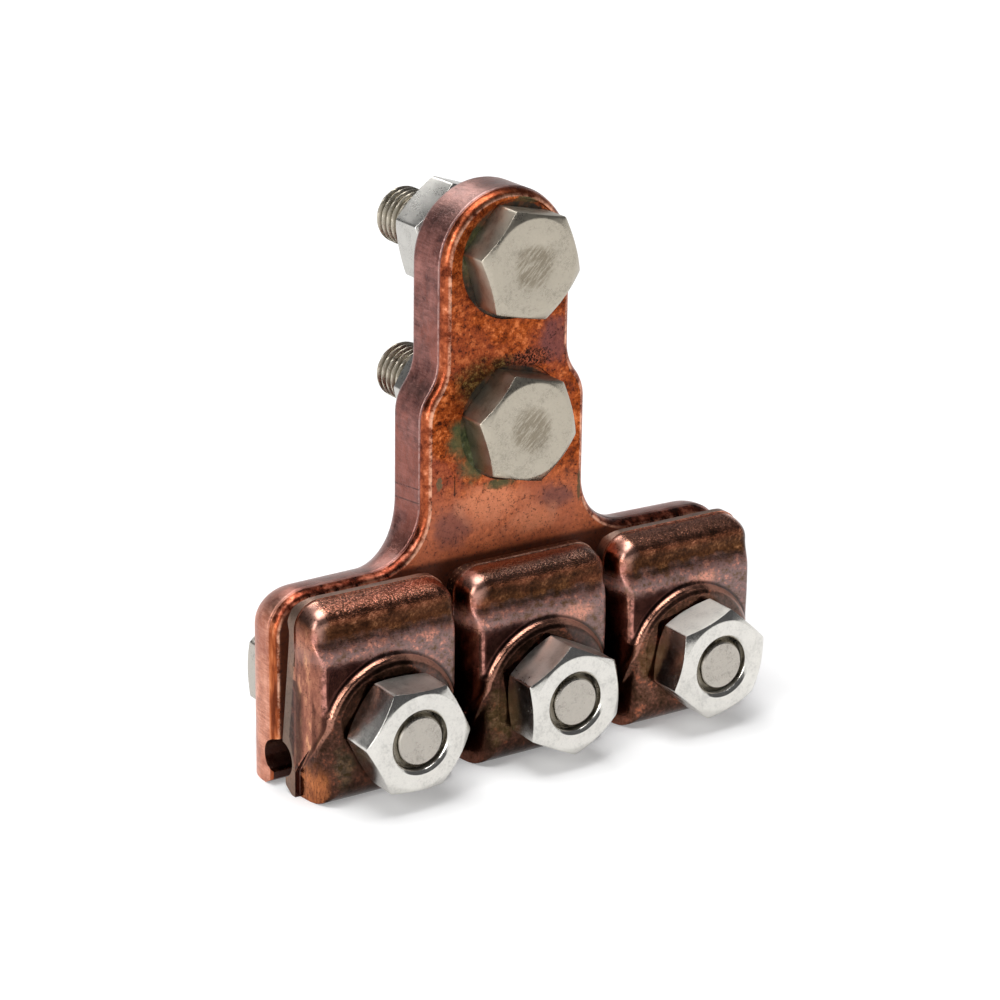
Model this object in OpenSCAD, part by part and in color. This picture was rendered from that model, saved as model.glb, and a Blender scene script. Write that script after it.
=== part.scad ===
// Feeder clamp for a grooved overhead contact wire.
// A forged T-shaped body has an upright tab for a cable lug and a long bar whose lower edge is the fixed lip.
// Separate forged jaws are drawn against the bar by hexagon bolts and close the wire channel from the front.
// Design axes: X along the wire, Y from the front (nuts) to the back (heads), Z up.
// Design zero: the bar's front face in Y and the axis of the jaw bolts in Z.

/* [Bar] */
// How far each end of the bar stands past the outer jaw
bar_over = 1.1; // [0.4:0.1:8]
// Thickness of the forging, front face to back face
plate_t = 10.4; // [9.5:0.1:12.5]
// Height of the bar's top edge above the jaw bolts
bar_rise = 20.7; // [19:0.1:24]
// How far the bar's top edge rises from its corners to the tab
top_slope = 0.2; // [0.1:0.1:1]
// Radius of the bar's two upper corners in the front view
bar_corner_r = 7; // [6.2:0.1:9]
// Depth of the foot under the jaw bolts
foot = 12.3; // [11.5:0.1:14]
// Bevel along the back of the foot
foot_bevel = 1.4; // [0.5:0.1:2]
// How far the crown at the back of the bar's top comes down
crown_drop = 6; // [3:0.1:6]
// How deep that crown reaches in from the back face
crown_depth = 8.4; // [4:0.1:8.5]
// How far the rounded backs of the bar's ends come in along the wire
end_in = 5.5; // [2:0.1:6]
// How deep they reach in from the back face
end_depth = 6.5; // [2:0.1:7.5]

/* [Tab] */
// Width of the tab's upper part
tab_w = 25; // [22.5:0.1:28]
// Width of the tab's lower part
tab_low_w = 32; // [30:0.1:36]
// Height of the tab's rounded top above the jaw bolts
tab_rise = 82.1; // [81:0.1:90]
// Sideways offset of the tab from the middle jaw bolt
tab_side = -0.8; // [-1.5:0.1:1.5]
// Height of the lower tab bolt above the jaw bolts
tab_bolt_low = 42.8; // [40:0.1:43.4]
// Distance between the two tab bolts
tab_bolt_gap = 27.5; // [25:0.1:28]
// Height of the shoulder's lower end above the jaw bolts
shoulder_z = 44.5; // [41:0.1:46]
// Height of the shoulder, where the tab narrows
shoulder_h = 10; // [8:0.5:12]
// Radius of the fillets between the tab and the bar
root_r = 9.5; // [5:0.5:11]
// Radius of the rounded edges of the forging
edge_r = 1.6; // [0.8:0.1:1.7]
// Depth of the round seats cut for the tab bolt heads
seat_d = 0.4; // [0.2:0.1:1]
// Room between a seat's wall and the corners of the head in it
seat_room = 0.3; // [0.2:0.1:1.2]

/* [Back bosses] */
// Height of the bosses under the jaw bolt heads
boss_h = 4.4; // [2:0.1:7]
// Radius of a boss at its top
boss_r = 10.2; // [10:0.1:11.5]
// Radius added to a boss at its root
boss_flare = 0.4; // [0.2:0.1:1]

/* [Jaws] */
// Gap between neighbouring jaws
jaw_room = 1.4; // [0.6:0.1:4]
// Width of one jaw
jaw_w = 28.6; // [26:0.1:33]
// Height of a jaw's top edge above its bolt
jaw_rise = 21.2; // [19.5:0.1:23]
// Radius of a jaw's upper corners in the front view
jaw_corner_r = 4.5; // [3:0.1:6]
// Opening between the jaw's land and the bar, as stored
jaw_gap = 1; // [0.6:0.1:3]
// Distance from the jaw's land to the front of its trimmed rim
rim_t = 3.9; // [3.2:0.1:5]
// Distance from the jaw's land to its flat front face
jaw_t = 10.2; // [9.4:0.1:12]
// Height of the nut seat above the front face
seat_h = 1.4; // [0.8:0.1:2.2]
// Radius of the nut seat
nut_seat_r = 10.1; // [10:0.05:11]
// Radius added to the nut seat at its root
seat_flare = 1.6; // [0.6:0.1:2]
// Height, over the bolt, at which the seat's flanks reach the jaw's sides
flare_z = -2; // [-4:0.1:1]
// How far a jaw's sides are drawn in at its front
side_round = 4; // [2:0.1:4.3]
// Step from the trimmed rim to the forged sides
rim_in = 0.2; // [0.1:0.05:0.5]
// Step from the sides of a jaw's upper block to those of its skirt
skirt_in = 0.5; // [0.1:0.1:1]
// Radius from a jaw's front to its foot
foot_round = 4.4; // [2:0.1:5]
// Radius of the roll along the jaw's top edge
roll_r = 3.2; // [2.6:0.1:4.5]
// Distance from the jaw's land to the front of that roll
roll_t = 8.5; // [7.8:0.1:9.4]
// Angle to which the roll turns under at the waist
waist_turn = 212; // [195:1:220]
// Height over which the front comes out again from the waist to the flat face
waist_h = 4.6; // [3:0.1:7]
// How far the heel's back face lies in front of the land
heel_back = 1.8; // [0.4:0.1:2.5]
// Depth of the hollow under the heel, measured from the heel
heel_hollow = 0.6; // [0.2:0.1:1]
// Height of the heel
heel_h = 5; // [3:0.5:7]

/* [Wire channel] */
// Radius of the pocket on each side of the channel
pocket_r = 3; // [2.6:0.1:3.4]
// Depth of the channel's centre under the jaw bolts
pocket_z = 6.9; // [6.6:0.1:7.5]
// How far each lip's tip stands back from its land
lip_back = 0.8; // [0.4:0.1:1.5]
// Height of the blunt tip of each lip
lip_h = 1.4; // [0.8:0.1:2]
// How far the lips' undersides lean back to the foot
lip_lean = 2; // [1:0.1:2.6]

/* [Bolts and nuts] */
// Diameter of the bolts
bolt_d = 10; // [8:0.1:10.4]
// Width across the flats of heads and nuts
hex_af = 17; // [15:0.1:17.2]
// Height of the bolt heads
head_h = 6.4; // [5:0.1:8]
// Height of the nuts
nut_h = 8; // [6:0.1:10]
// Length of the jaw bolts under the head
jaw_bolt_l = 35; // [34.5:0.1:45]
// Length of the tab bolts under the head
tab_bolt_l = 35; // [30:0.5:60]
// Distance from the tab's back face to the tab nuts
tab_nut_gap = 3.9; // [0:0.1:6]
// Radial room of a bolt in its clearance hole
hole_room = 0.5; // [0.3:0.05:1]
// Radial running clearance between a bolt and its nut
thread_room = 0.05; // [0.02:0.01:0.1]
// Length of the bevel at the bolt ends
end_bevel = 1.1; // [0.5:0.1:1.5]
// Angle of the bevel on heads and nuts
hex_bevel = 30; // [15:1:35]
// Depth of the countersinks in the nuts
sink_d = 0.5; // [0.2:0.1:1]

/* [Hidden] */
$fn = 64;
copper = "#a4532f";
dark_copper = "#6e3a2a";
steel = "#b9b8b2";
bolt_r = bolt_d / 2;
hole_r = bolt_r + hole_room;
hex_r = hex_af / 2 / cos(30);
hex_face_r = hex_af / 2 - 0.5;
hex_out = hex_r + 0.2;
hex_rise = (hex_out - hex_face_r) * tan(hex_bevel);
jaw_pitch = jaw_w + jaw_room;
bar_l = 2 * jaw_pitch + jaw_w + 2 * bar_over;
half_l = bar_l / 2;
half_up = tab_w / 2;
root_z = bar_rise + top_slope + root_r;
half_low = tab_low_w / 2;
// Tab bolts, and the shoulder's two equal arcs between the widths
upper_z = tab_bolt_low + tab_bolt_gap;
step = half_low - half_up;
shoulder_top = shoulder_z + shoulder_h;
shoulder_r = (step * step + shoulder_h * shoulder_h) / (4 * step);
shoulder_a = asin(shoulder_h / 2 / shoulder_r);
// Depths of the jaw, from the bar's front face towards the front
land_y = -jaw_gap;
rim_y = land_y - rim_t;
face_y = land_y - jaw_t;
seat_y = face_y - seat_h;
roll_y = land_y - roll_t;
heel_y = land_y - heel_back;
// Where the jaw bolts' heads and the tab bolts' heads sit
head_y = plate_t + boss_h;
tab_nut_y = plate_t + tab_nut_gap;
// Middle of the whole part in Y, and its height over the ground
back_end = max(seat_d + tab_bolt_l, head_y + head_h);
front_end = min(seat_y - nut_h, head_y - jaw_bolt_l);
mid_y = (back_end + front_end) / 2;

// Points of an arc, for profiles
function arc(c, r, a0, a1, n) =
    [for (i = [0:n]) c + r * [cos(a0 + (a1 - a0) * i / n), sin(a0 + (a1 - a0) * i / n)]];

// Stands the part on the ground with its box centred over the origin
module placed() {
    translate([0, -mid_y, foot]) children();
}

// Extrudes an X-Z outline from y0 back to y1
module plate(y0, y1) {
    translate([0, y1, 0]) rotate([90, 0, 0]) linear_extrude(height = y1 - y0) children();
}

// Extrudes a Y-Z profile along X, centred
module along_x(w) {
    translate([-w / 2, 0, 0]) rotate([90, 0, 90]) linear_extrude(height = w) children();
}

// A cylinder that points along +Y from y0
module rod(r, y0, y1) {
    translate([0, y0, 0]) rotate([-90, 0, 0]) cylinder(r = r, h = y1 - y0);
}

// A cone frustum along +Y from radius ra at y0 to rb at y1
module taper(ra, rb, y0, y1) {
    translate([0, y0, 0]) rotate([-90, 0, 0]) cylinder(r1 = ra, r2 = rb, h = y1 - y0);
}

// Points of the forging's outline on one arc: [x, z, inward normal, inset at the back, depth of the inset].
// The normal points away from the centre where the corner is concave (turn = 1).
// Insets and depths run from v0 at the arc's start to v1 at its end.
function edge_arc(c, r, a0, a1, n, turn, v0, v1) =
    [for (i = [0:n])
        let (a = a0 + (a1 - a0) * i / n, v = v0 + (v1 - v0) * (1 - cos(180 * i / n)) / 2)
        [c[0] + r * cos(a), c[1] + r * sin(a), turn * cos(a), turn * sin(a), v[0], v[1]]];

// Outline of the right half, from the foot to the tab's top, round a tab whose middle is at x = m
function half_outline(m) =
    let (round = [edge_r, edge_r], ends = [end_in, end_depth], crown = [crown_drop, crown_depth])
    concat([[half_l, -foot, -1, 0, end_in, end_depth]],
           edge_arc([half_l - bar_corner_r, bar_rise - bar_corner_r], bar_corner_r, 0, 90, 8, -1, ends, crown),
           edge_arc([m + half_low + root_r, root_z], root_r, 270, 180, 10, 1, crown, round),
           edge_arc([m + half_low - shoulder_r, shoulder_z], shoulder_r, 0, shoulder_a, 4, -1, round, round),
           edge_arc([m + half_up + shoulder_r, shoulder_top], shoulder_r, 180 + shoulder_a - 8, 180, 3, 1, round, round),
           edge_arc([m, tab_rise - half_up], half_up, 0, 90, 12, -1, round, round));

// Whole outline: the right half, then the left half mirrored and run backwards
function outline() =
    let (right = half_outline(tab_side), left = half_outline(-tab_side), n = len(left))
    concat(right, [for (i = [n - 2:-1:0]) let (q = left[i]) [-q[0], q[1], -q[2], q[3], q[4], q[5]]]);

// Ring of the outline drawn in at the back, from full inset at a = 90 to none at a = 0
function back_ring(pts, a) =
    [for (q = pts) let (in = q[4] * (1 - cos(a)))
        [q[0] + q[2] * in, plate_t - q[5] * (1 - sin(a)), q[1] + q[3] * in]];

// Ring of the outline drawn in round the front edge
function front_ring(pts, a) =
    [for (q = pts) let (in = edge_r * (1 - cos(a)))
        [q[0] + q[2] * in, edge_r * (1 - sin(a)), q[1] + q[3] * in]];

// One side of the wire channel, cut into the face at y = 0 that looks towards -Y
module pocket_profile() {
    translate([0, -pocket_z]) circle(r = pocket_r);
    tip = -pocket_z - pocket_r + 0.2;
    polygon([[-4, tip + 1.2], [lip_back, tip + 1.2], [lip_back, tip - lip_h],
             [lip_back + lip_lean, -foot], [lip_back + lip_lean, -foot - 2], [-4, -foot - 2]]);
}

// Forged body: bar and tab in one plate, back bosses, bolt holes, head seats and the fixed lip
module body() {
    pts = outline();
    color(copper) placed() difference() {
        union() {
            loft(concat([for (a = [90:-15:0]) back_ring(pts, a)], [for (a = [0:22.5:90]) front_ring(pts, a)]));
            for (k = [-1:1])
                translate([k * jaw_pitch, 0, 0])
                    taper(boss_r + boss_flare, boss_r, plate_t - edge_r, head_y);
        }
        for (k = [-1:1])
            translate([k * jaw_pitch, 0, 0]) rod(hole_r, -1, head_y + 1);
        for (z = [tab_bolt_low, upper_z])
            translate([0, 0, z]) {
                rod(hole_r, -1, plate_t + 1);
                rod(hex_r + seat_room, -1, seat_d);
            }
        along_x(bar_l + 2) pocket_profile();
        along_x(bar_l + 2) polygon([[plate_t - foot_bevel, -foot - 1], [plate_t - foot_bevel, -foot],
                                    [plate_t, foot_bevel - foot], [plate_t + 1, foot_bevel - foot],
                                    [plate_t + 1, -foot - 1]]);
    }
}

// Lip, land, relief and heel at the back of a jaw: everything behind this line is cut away
module jaw_back() {
    land_z = -pocket_z + pocket_r + 0.6;
    heel_z = jaw_rise - heel_h;
    polygon([[land_y, -foot - 2], [land_y, land_z], [heel_y - heel_hollow, heel_z - 1.2],
             [heel_y - heel_hollow, heel_z], [heel_y, heel_z + 1.4], [heel_y, jaw_rise - 1.2],
             [heel_y - 0.8, jaw_rise + 0.01], [heel_y - 0.8, jaw_rise + 2], [6, jaw_rise + 2], [6, -foot - 2]]);
}

// Side view of the upper block: the roll along the top edge, the waist under it and the flat face
module jaw_front() {
    c = [roll_y + roll_r, jaw_rise - roll_r];
    under = c + roll_r * [cos(waist_turn), sin(waist_turn)];
    polygon(concat([[0, -pocket_z - 1], [0, jaw_rise]], arc(c, roll_r, 90, waist_turn, 14),
                   [for (i = [1:8]) let (t = i / 8)
                       [under[0] + (face_y - under[0]) * t * t * (3 - 2 * t), under[1] - waist_h * t]],
                   [[face_y, 2], [rim_y, -pocket_z - 1]]));
}

// Outline of a jaw's trimmed rim
module rim_outline() {
    w = jaw_w / 2;
    translate([-w, -foot]) square([jaw_w, foot + jaw_rise - jaw_corner_r]);
    translate([-w + jaw_corner_r, 0]) square([jaw_w - 2 * jaw_corner_r, jaw_rise]);
    for (s = [-1, 1])
        translate([s * (w - jaw_corner_r), jaw_rise - jaw_corner_r]) circle(r = jaw_corner_r);
}

// Ring of points in the plane y for the upper block: straight sides, rounded upper corners
function block_ring(y, in) =
    let (w = jaw_w / 2, c = jaw_corner_r, top = jaw_rise - jaw_corner_r)
    [for (q = concat([[w - in, -foot]], arc([w - c, top], c - in, 0, 90, 6),
                     arc([c - w, top], c - in, 90, 180, 6), [[in - w, -foot]])) [q[0], y, q[1]]];

// Ring of points in the plane y for the skirt: a round top of radius r with tangents to the shoulders
function skirt_ring(y, in, up, r) =
    let (w = jaw_w / 2 - in, away = sqrt(w * w + flare_z * flare_z),
         touch = atan2(flare_z, w) + acos(min(1, r / away)))
    [for (q = concat([[w, up - foot], [w, flare_z]], arc([0, 0], r, touch, 180 - touch, 20),
                     [[-w, flare_z], [-w, up - foot]])) [q[0], y, q[1]]];

// Rise of a quarter circle of radius r at depth d into it
function rounding(r, d) = r - sqrt(max(0, r * r - max(0, d) * max(0, d)));

// Solid drawn over rings of points that follow each other towards the front.
// Each ring is even about its middle: its first and last points are level, and so on up to its top.
// Both ends are closed with strips between such pairs.
module loft(rings) {
    n = len(rings[0]);
    last = len(rings) - 1;
    half = floor(n / 2);
    strips = concat([for (i = [0:half - 2]) [i, i + 1, n - 2 - i, n - 1 - i]],
                    n % 2 == 1 ? [[half - 1, half, half + 1]] : []);
    polyhedron(points = [for (r = rings) each r],
               faces = concat(strips,
                              [for (k = [0:last - 1]) for (i = [0:n - 1])
                                  [k * n + i, k * n + n + i, k * n + n + (i + 1) % n]],
                              [for (k = [0:last - 1]) for (i = [0:n - 1])
                                  [k * n + i, k * n + n + (i + 1) % n, k * n + (i + 1) % n]],
                              [for (f = strips) [for (j = [len(f) - 1:-1:0]) last * n + f[j]]]));
}

// Upper block of a jaw, its sides drawn in to the front along a quarter of an ellipse
module jaw_block() {
    intersection() {
        loft([for (a = [0:15:90])
            block_ring(rim_y + 0.5 + (face_y - rim_y - 1) * sin(a),
                       rim_in + (side_round - rim_in) * (1 - cos(a)))]);
        along_x(jaw_w) jaw_front();
    }
}

// Lower skirt of a jaw: a round nut seat that flares to both sides and rounds off to the sides and the foot
module jaw_skirt() {
    loft([for (a = [0:15:90])
        let (y = rim_y + 0.5 + (seat_y - rim_y - 0.5) * sin(a), front = y - seat_y)
        skirt_ring(y, rim_in + skirt_in + (side_round - rim_in - skirt_in) * (1 - cos(a)),
                   rounding(foot_round, foot_round - front),
                   nut_seat_r + seat_flare - rounding(seat_flare, seat_flare - front))]);
}

// One forged jaw
module jaw(k) {
    color(dark_copper) placed() translate([k * jaw_pitch, 0, 0]) difference() {
        union() {
            plate(rim_y, 0) rim_outline();
            jaw_block();
            jaw_skirt();
        }
        along_x(jaw_w + 2) jaw_back();
        translate([0, land_y, 0]) mirror([0, 1, 0]) along_x(jaw_w + 2) pocket_profile();
        rod(hole_r, seat_y - 1, 1);
    }
}

// Hexagon prism along +Y from y = 0
module hex_prism(h, turn) {
    rotate([-90, turn, 0]) cylinder(r = hex_r, h = h, $fn = 6);
}

// Turns a radius-height profile round the Y axis
module revolved() {
    rotate([-90, 0, 0]) rotate_extrude() children();
}

// Bolt: bevelled head with its outer face towards -Y, shank along +Y to a bevelled end
module bolt(l, turn) {
    translate([0, -head_h, 0]) intersection() {
        hex_prism(head_h, turn);
        revolved() polygon([[0, 0], [hex_face_r, 0], [hex_out, hex_rise], [hex_out, head_h], [0, head_h]]);
    }
    revolved() polygon([[0, -head_h / 2], [bolt_r, -head_h / 2], [bolt_r, l - end_bevel],
                        [bolt_r - end_bevel, l], [0, l]]);
}

// Nut from y = 0 to its height, bevelled and countersunk at both ends
module nut(turn) {
    bore = bolt_r + thread_room;
    intersection() {
        hex_prism(nut_h, turn);
        revolved() polygon([[bore + sink_d, 0], [hex_face_r, 0], [hex_out, hex_rise], [hex_out, nut_h - hex_rise],
                            [hex_face_r, nut_h], [bore + sink_d, nut_h], [bore, nut_h - sink_d], [bore, sink_d]]);
    }
}

// Jaw bolt: its head on the back boss, its end level with the nut at the front
module jaw_bolt(k, turn) {
    color(steel) placed() translate([k * jaw_pitch, head_y, 0]) mirror([0, 1, 0]) bolt(jaw_bolt_l, turn);
}

// Jaw nut on its seat
module jaw_nut(k, turn) {
    color(steel) placed() translate([k * jaw_pitch, seat_y - nut_h, 0]) nut(turn);
}

// Tab bolt with its head in the front seat
module tab_bolt(z, turn) {
    color(steel) placed() translate([0, seat_d, z]) bolt(tab_bolt_l, turn);
}

// Tab nut, run on clear of the tab's back face
module tab_nut(z, turn) {
    color(steel) placed() translate([0, tab_nut_y, z]) nut(turn);
}

module jaw_left() { jaw(-1); }
module jaw_middle() { jaw(0); }
module jaw_right() { jaw(1); }
module jaw_bolt_left() { jaw_bolt(-1, 12); }
module jaw_bolt_middle() { jaw_bolt(0, 40); }
module jaw_bolt_right() { jaw_bolt(1, 25); }
module jaw_nut_left() { jaw_nut(-1, 2); }
module jaw_nut_middle() { jaw_nut(0, 26); }
module jaw_nut_right() { jaw_nut(1, 42); }
module tab_bolt_upper() { tab_bolt(upper_z, 12); }
module tab_bolt_lower() { tab_bolt(tab_bolt_low, 14); }
module tab_nut_upper() { tab_nut(upper_z, 18); }
module tab_nut_lower() { tab_nut(tab_bolt_low, 10); }

body();
jaw_left();
jaw_middle();
jaw_right();
jaw_bolt_left();
jaw_bolt_middle();
jaw_bolt_right();
jaw_nut_left();
jaw_nut_middle();
jaw_nut_right();
tab_bolt_upper();
tab_bolt_lower();
tab_nut_upper();
tab_nut_lower();
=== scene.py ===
import math

import bmesh
import bpy
import numpy as np
from mathutils import Matrix, Vector

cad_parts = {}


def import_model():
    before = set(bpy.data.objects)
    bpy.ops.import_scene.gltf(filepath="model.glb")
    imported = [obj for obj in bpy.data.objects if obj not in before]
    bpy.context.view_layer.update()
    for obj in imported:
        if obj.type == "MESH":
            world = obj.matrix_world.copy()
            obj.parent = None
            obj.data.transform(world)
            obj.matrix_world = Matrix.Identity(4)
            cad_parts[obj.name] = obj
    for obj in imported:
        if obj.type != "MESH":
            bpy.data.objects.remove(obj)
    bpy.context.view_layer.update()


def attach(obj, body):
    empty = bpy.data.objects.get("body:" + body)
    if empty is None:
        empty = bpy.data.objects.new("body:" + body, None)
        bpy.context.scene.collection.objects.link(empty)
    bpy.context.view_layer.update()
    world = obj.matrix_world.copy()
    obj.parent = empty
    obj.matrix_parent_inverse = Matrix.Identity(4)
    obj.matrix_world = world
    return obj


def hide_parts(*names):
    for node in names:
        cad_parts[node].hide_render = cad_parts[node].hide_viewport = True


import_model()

# Lengths are in millimetres in the design's axes: y = 0 at the bar's front face, z = 0 at the jaw bolts.
# The CAD frame, which the materials use, has its y = 0 further back by MID_Y and its z = 0 lower by FOOT.
MM = 0.001
MID_Y = 7.4
FOOT = 12.3

# Body. The roundings of its back are pairs: how far in from the edge, and how far forward from the back.
PLATE_T = 10.4
EDGE_R = 1.6
LEDGE = 0.12
HALF_L = 45.4
BAR_RISE = 20.7
TOP_SLOPE = 0.2
BAR_CORNER = 7.0
ROOT_R = 9.5
HALF_LOW = 16.0
HALF_UP = 12.5
TAB_RISE = 82.1
TAB_SIDE = -0.8
SHOULDER_Z = 44.5
SHOULDER_H = 10.0
CROWN = (6.0, 8.4)
ENDS = (5.5, 6.5)
FOOT_BEVEL = 1.4
BOSS_R = 10.2
BOSS_FLARE = 0.4
BOSS_SINK = 1.6
HOLE_R = 5.5
HOLE_SIDES = 64
HEAD_SEAT_D = 0.4
HEAD_SEAT_ROOM = (0.24, 0.12)

# Wire channel: a round pocket, and below it a lip that stands back, by depths under the jaw bolts.
POCKET_Z = 6.9
POCKET_R = 3.0
LIP_Z = (8.5, 11.1, FOOT)
LIP_BACK = (0.8, 0.8, 2.8)

# Jaws. Names with _F are depths forward from the trimmed rim's front, which lies at RIM_Y.
PITCH = 30.0
JAW_W = 28.6
JAW_RISE = 21.2
JAW_CORNER = 4.5
JAW_GAP = 1.0
LAND_Z = -3.3
RIM_Y = -4.9
RIM_F = -0.5
RIM_LEAST = 0.7
FACE_F = 6.3
SEAT_F = 7.7
SIDE_F = 6.8
SIDE_ROUND = 3.8
SKIRT_IN = 0.95
SKIRT_ROUND = 3.5
FOOT_ROUND = 4.4
ROLL_R = 3.2
ROLL_F = 4.6
WAIST_TURN = 212
WAIST_H = 4.6
BELL_R = 11.7
BELL_Z = -2.0
BELL_IN = 0.7
BELL_PRESS = 0.6
SEAT_FLARE = 1.6
REAR_Z = (-FOOT, LAND_Z, 15.0, 16.2, 17.6, 20.0, JAW_RISE)
REAR_Y = (-JAW_GAP, -JAW_GAP, -3.4, -3.4, -2.8, -2.8, -3.6)

# Bolts and nuts
AF = 17.0
HEX_R = AF / 2 / math.cos(math.radians(30))
FACE_R = 8.0
TAN30 = math.tan(math.radians(30))
BOLT_R = 5.0
BOLT_L = 35.0
BORE_R = 5.05
HEAD_H = 6.4
NUT_H = 8.0
THREAD_PITCH = 1.5
THREAD_DEPTH = 0.86
POINT_R = 3.9
HEAD_Y = 14.8
TAB_NUT_Y = 14.3
LOW_Z = 42.8
UPPER_Z = 70.3
HEADS_MID = FOOT + (LOW_Z + UPPER_Z) / 2
HEADS_HALF = (UPPER_Z - LOW_Z) / 2

# Depths of bump in metres
HAMMERED = 0.00024
GRITTY = 0.00008
BRUSHED = 0.00005


def new_object(name, points, faces):
    """Object from points in design millimetres, with its faces turned outward."""
    mesh = bpy.data.meshes.new(name)
    p = (np.asarray(points, float) + (0.0, -MID_Y, FOOT)) * MM
    mesh.from_pydata(p.tolist(), [], [list(map(int, f)) for f in faces])
    bm = bmesh.new()
    bm.from_mesh(mesh)
    bmesh.ops.recalc_face_normals(bm, faces=bm.faces)
    bm.to_mesh(mesh)
    bm.free()
    obj = bpy.data.objects.new(name, mesh)
    bpy.context.scene.collection.objects.link(obj)
    return obj


def applied(obj):
    dg = bpy.context.evaluated_depsgraph_get()
    mesh = bpy.data.meshes.new_from_object(obj.evaluated_get(dg))
    obj.modifiers.clear()
    obj.data = mesh


def boolean(obj, tools, operation):
    for tool in tools:
        mod = obj.modifiers.new("boolean", "BOOLEAN")
        mod.operation = operation
        mod.solver = "EXACT"
        mod.object = tool
    applied(obj)
    for tool in tools:
        bpy.data.objects.remove(tool)


def shade(obj, angle, weighted=False):
    obj.data.shade_smooth()
    obj.data.set_sharp_from_angle(angle=math.radians(angle))
    if weighted:
        mod = obj.modifiers.new("normals", "WEIGHTED_NORMAL")
        mod.keep_sharp = True
        mod.weight = 80
        applied(obj)


def dress(obj, body, node, material):
    obj.data.materials.clear()
    obj.data.materials.append(material)
    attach(obj, body)
    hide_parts(node)


def tool_between(start, end):
    """Closed tool between two outlines with as many points."""
    n = len(start)
    faces = [list(range(n)), list(range(2 * n - 1, n - 1, -1))]
    faces += [[i, (i + 1) % n, n + (i + 1) % n, n + i] for i in range(n)]
    return new_object("tool", start + end, faces)


def prism_x(profile, half):
    """Prism along X from a (y, z) profile."""
    return tool_between([(-half, y, z) for y, z in profile], [(half, y, z) for y, z in profile])


def cone_y(cx, cz, ra, rb, y0, y1, n=96):
    """Cone along Y from radius ra at y0 to radius rb at y1."""
    angles = np.arange(n) * 2 * math.pi / n
    start, end = ([(cx + r * math.cos(a), y, cz + r * math.sin(a)) for a in angles]
                  for r, y in ((ra, y0), (rb, y1)))
    return tool_between(start, end)


def channel_depth(z):
    """How far the wire channel and the lip below it lie behind the land they are cut in."""
    circle = np.sqrt(np.maximum(0, POCKET_R ** 2 - (z + POCKET_Z) ** 2))
    lip = np.where(z < -LIP_Z[0], np.interp(-z, LIP_Z, LIP_BACK), 0.0)
    return np.maximum(circle, lip)


# Forged body


def edge_arc(cx, cz, r, a0, a1, n, turn, v0, v1):
    """Arc of the front view, in rows of x, z, the way in from the edge, and the back's rounding there."""
    rows = []
    for i in range(n + 1):
        a = math.radians(a0 + (a1 - a0) * i / n)
        f = (1 - math.cos(math.pi * i / n)) / 2
        rows.append((cx + r * math.cos(a), cz + r * math.sin(a), turn * math.cos(a), turn * math.sin(a),
                     v0[0] + (v1[0] - v0[0]) * f, v0[1] + (v1[1] - v0[1]) * f))
    return rows


def half_outline(side):
    """Right half of the outline, from the foot up to the tab's top, with the tab moved sideways."""
    step = HALF_LOW - HALF_UP
    shoulder_r = (step * step + SHOULDER_H * SHOULDER_H) / (4 * step)
    bend = math.degrees(math.asin(SHOULDER_H / 2 / shoulder_r))
    root_z = BAR_RISE + TOP_SLOPE + ROOT_R
    edge = (EDGE_R, EDGE_R)
    rows = [(HALF_L, -FOOT, -1.0, 0.0, *ENDS)]
    rows += edge_arc(HALF_L - BAR_CORNER, BAR_RISE - BAR_CORNER, BAR_CORNER, 0, 90, 28, -1, ENDS, CROWN)
    rows += edge_arc(side + HALF_LOW + ROOT_R, root_z, ROOT_R, 270, 180, 36, 1, CROWN, edge)
    rows += edge_arc(side + HALF_LOW - shoulder_r, SHOULDER_Z, shoulder_r, 0, bend, 14, -1, edge, edge)
    # the upper arc leaves out the point where the two arcs of the shoulder meet
    top, skip = SHOULDER_Z + SHOULDER_H, 2
    rows += edge_arc(side + HALF_UP + shoulder_r, top, shoulder_r, 180 + bend - skip, 180, 13, 1, edge, edge)
    rows += edge_arc(side, TAB_RISE - HALF_UP, HALF_UP, 0, 90, 44, -1, edge, edge)
    return rows


def body_plate():
    """Plate in rings from its back face, over the rounded back and the side wall, to the front face."""
    left = [(-x, z, -in_x, in_z, *back) for x, z, in_x, in_z, *back in half_outline(-TAB_SIDE)[-2::-1]]
    x, z, in_x, in_z, back_in, back_y = np.array(half_outline(TAB_SIDE) + left).T
    n = len(x)

    def at(y, inset):
        return np.stack([x + in_x * inset, np.broadcast_to(y, n), z + in_z * inset], 1)

    rings = []
    for a in np.radians(np.linspace(90, 0, 17)):
        rings.append(at(PLATE_T - back_y * (1 - math.sin(a)), back_in * (1 - math.cos(a))))
    # the trimmed side wall ends in a small ledge before the front edge's rounding
    rings.append(at(EDGE_R + 0.42, 0.0))
    rings.append(at(EDGE_R + 0.30, LEDGE * 0.8))
    for a in np.radians(np.linspace(0, 90, 11)):
        rings.append(at((EDGE_R + 0.2) * (1 - math.sin(a)), LEDGE + (EDGE_R - LEDGE) * (1 - math.cos(a))))
    last = len(rings) - 1
    half = n // 2
    strips = [[i, i + 1, n - 2 - i, n - 1 - i] for i in range(half - 1)]
    if n % 2:
        strips.append([half - 1, half, half + 1])
    faces = strips + [[last * n + j for j in f[::-1]] for f in strips]
    for k in range(last):
        for i in range(n):
            j = (i + 1) % n
            faces.append([k * n + i, k * n + n + i, k * n + n + j, k * n + j])
    return new_object("body_skin", np.concatenate(rings), faces)


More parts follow.
